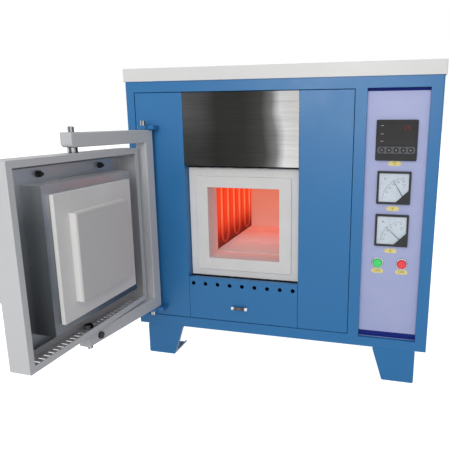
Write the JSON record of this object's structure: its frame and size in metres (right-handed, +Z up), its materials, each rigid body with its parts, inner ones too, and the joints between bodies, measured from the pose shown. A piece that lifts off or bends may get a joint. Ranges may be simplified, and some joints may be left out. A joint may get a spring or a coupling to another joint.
{
  "type": "muffle furnace",
  "caption": "Floor-standing box furnace with a swinging plug door on a C-shaped arm, a ceramic chamber with hairpin elements, a control column and a lower drawer.",
  "frame": {"origin": "bottom centre of the whole object's bounding box, on the floor, with the door open as stored", "axes": "+X to the right seen from the front, +Y from the front to the back, +Z up"},
  "size_m": [0.8558, 1.2298, 0.8014],
  "materials": {
    "cabinet_blue": "smooth blue powder coat",
    "pale_grey_paint": "light grey powder coat",
    "brushed_stainless": "vertical brushed stainless sheet",
    "zinc_sheet": "plain galvanised sheet",
    "ceramic_board": "matt ceramic fibre board",
    "hot_element": "glowing hairpin element",
    "hearth": "smooth refractory plate",
    "clamp_aluminium": "plain aluminium",
    "sheath_ceramic": "ceramic sheath",
    "panel_lavender": "printed lavender panel",
    "black_plastic": "black moulded case",
    "smoked_window": "dark glossy window",
    "key_rubber": "dark grey keys",
    "dial_white": "white printed dial",
    "clear_glass": "thin clear cover",
    "needle_black": "black painted needle",
    "chrome_ring": "polished ring",
    "button_green": "green button",
    "button_red": "red button",
    "core_steel": "varnished core",
    "bright_steel": "bright steel",
    "black_steel": "black oxide steel",
    "bronze": "plain bronze bush",
    "fan_black": "black fan plastic",
    "gland_black": "black nylon"
  },
  "bodies": {
    "cabinet": {"front_frame": "cabinet_blue", "side_panels": "cabinet_blue", "rear_panel": "cabinet_blue", "base_plate": "cabinet_blue", "top_lid": "pale_grey_paint", "feet": "cabinet_blue", "front_panels": "cabinet_blue", "lintel_plate": "brushed_stainless", "drawer_rails": "zinc_sheet", "inner_casing": "zinc_sheet", "casing_front": "zinc_sheet", "mouth_block": "ceramic_board", "lining_floor": "ceramic_board", "lining_sides": "ceramic_board", "lining_roof": "ceramic_board", "lining_rear": "ceramic_board", "hearth_plate": "hearth", "heating_elements": "hot_element", "element_holders": "ceramic_board", "element_clamps": "clamp_aluminium", "element_straps": "clamp_aluminium", "thermocouple": "sheath_ceramic", "partition": "zinc_sheet", "control_panel": "panel_lavender", "controller_case": "black_plastic", "controller_window": "smoked_window", "meter_cases": "black_plastic", "meter_dials": "dial_white", "meter_glasses": "clear_glass", "button_bezels": "chrome_ring", "contact_blocks": "black_plastic", "transformer": "core_steel", "power_unit": "clamp_aluminium", "fan_housing": "fan_black", "cable_gland": "gland_black", "hinge_brackets": "cabinet_blue", "hinge_pins": "bright_steel"},
    "drawer": {"drawer_front": "cabinet_blue", "drawer_tray": "zinc_sheet", "drawer_pull": "bright_steel"},
    "arm": {"door_arm": "pale_grey_paint", "arm_bushes": "bronze", "lock_screw": "black_steel"},
    "door": {"door_shell": "pale_grey_paint", "door_liner": "brushed_stainless", "door_plug": "ceramic_board", "door_straps": "zinc_sheet", "door_studs": "bright_steel", "pivot_pins": "bright_steel", "door_handle": "pale_grey_paint"},
    "start_button": {"start_button": "button_green"},
    "stop_button": {"stop_button": "button_red"},
    "voltmeter_needle": {"voltmeter_needle": "needle_black"},
    "ammeter_needle": {"ammeter_needle": "needle_black"},
    "fan_rotor": {"fan_rotor": "fan_black"},
    "key_1": {"key_1": "key_rubber"},
    "key_2": {"key_2": "key_rubber"},
    "key_3": {"key_3": "key_rubber"},
    "key_4": {"key_4": "key_rubber"},
    "key_5": {"key_5": "key_rubber"}
  },
  "joints": [
    {"name": "arm_swing", "type": "hinge", "parent": "cabinet", "child": "arm", "pos_m": [-0.31853, -0.14559, 0.40025], "axis": [0, 0, -1], "range_deg": [-97.5, 37.5]},
    {"name": "door_swivel", "type": "hinge", "parent": "arm", "child": "door", "pos_m": [-0.35163, -0.39702, 0.39635], "axis": [0, 0, 1], "range_deg": [-6.01, 2.5]},
    {"name": "drawer_slide", "type": "slide", "parent": "cabinet", "child": "drawer", "axis": [0, -1, 0], "range_m": [0, 0.36]},
    {"name": "start_press", "type": "slide", "parent": "cabinet", "child": "start_button", "axis": [0, 1, 0], "range_m": [0, 0.003], "stiffness_N_per_m": 600},
    {"name": "stop_press", "type": "slide", "parent": "cabinet", "child": "stop_button", "axis": [0, 1, 0], "range_m": [0, 0.003], "stiffness_N_per_m": 600},
    {"name": "key_1_press", "type": "slide", "parent": "cabinet", "child": "key_1", "axis": [0, 1, 0], "range_m": [0, 0.0008], "stiffness_N_per_m": 800},
    {"name": "key_2_press", "type": "slide", "parent": "cabinet", "child": "key_2", "axis": [0, 1, 0], "range_m": [0, 0.0008], "stiffness_N_per_m": 800},
    {"name": "key_3_press", "type": "slide", "parent": "cabinet", "child": "key_3", "axis": [0, 1, 0], "range_m": [0, 0.0008], "stiffness_N_per_m": 800},
    {"name": "key_4_press", "type": "slide", "parent": "cabinet", "child": "key_4", "axis": [0, 1, 0], "range_m": [0, 0.0008], "stiffness_N_per_m": 800},
    {"name": "key_5_press", "type": "slide", "parent": "cabinet", "child": "key_5", "axis": [0, 1, 0], "range_m": [0, 0.0008], "stiffness_N_per_m": 800},
    {"name": "voltmeter_reading", "type": "hinge", "parent": "cabinet", "child": "voltmeter_needle", "pos_m": [0.34977, -0.10719, 0.4799], "axis": [0, 1, 0], "range_deg": [-56.9, 29.1], "stiffness_Nm_per_rad": 0.002},
    {"name": "ammeter_reading", "type": "hinge", "parent": "cabinet", "child": "ammeter_needle", "pos_m": [0.34977, -0.10719, 0.3738], "axis": [0, 1, 0], "range_deg": [-40.3, 45.7], "stiffness_Nm_per_rad": 0.002},
    {"name": "fan_spin", "type": "hinge", "parent": "cabinet", "child": "fan_rotor", "pos_m": [0.32397, 0.56581, 0.62], "axis": [0, 1, 0], "continuous": true}
  ],
  "couplings": [
    {"joint": "door_swivel", "follows": "arm_swing", "ratio": 0.061538}
  ]
}
